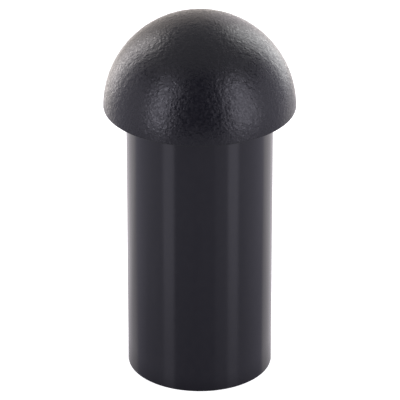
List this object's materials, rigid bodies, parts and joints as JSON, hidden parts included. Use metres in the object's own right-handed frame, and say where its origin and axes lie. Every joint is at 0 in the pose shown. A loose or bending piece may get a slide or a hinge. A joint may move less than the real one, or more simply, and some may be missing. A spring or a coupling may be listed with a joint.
{
  "type": "plastic hole plug",
  "caption": "Black moulded plug with a grained half-ball head, a flat seat under it and a long smooth hollow shank that grips a round hole or tube end.",
  "frame": {"origin": "centre of the head's flat underside, on the shank's axis", "axes": "+Z along the axis, up through the crown of the head; the shank runs along -Z; the part is round, so X and Y are free"},
  "size_m": [0.033, 0.033, 0.0655],
  "materials": {
    "black_plastic": "fine spark-eroded matt grain on the head, smooth satin on the underside, shank and core"
  },
  "bodies": {
    "root": {"hole_plug": "black_plastic"}
  },
  "joints": []
}
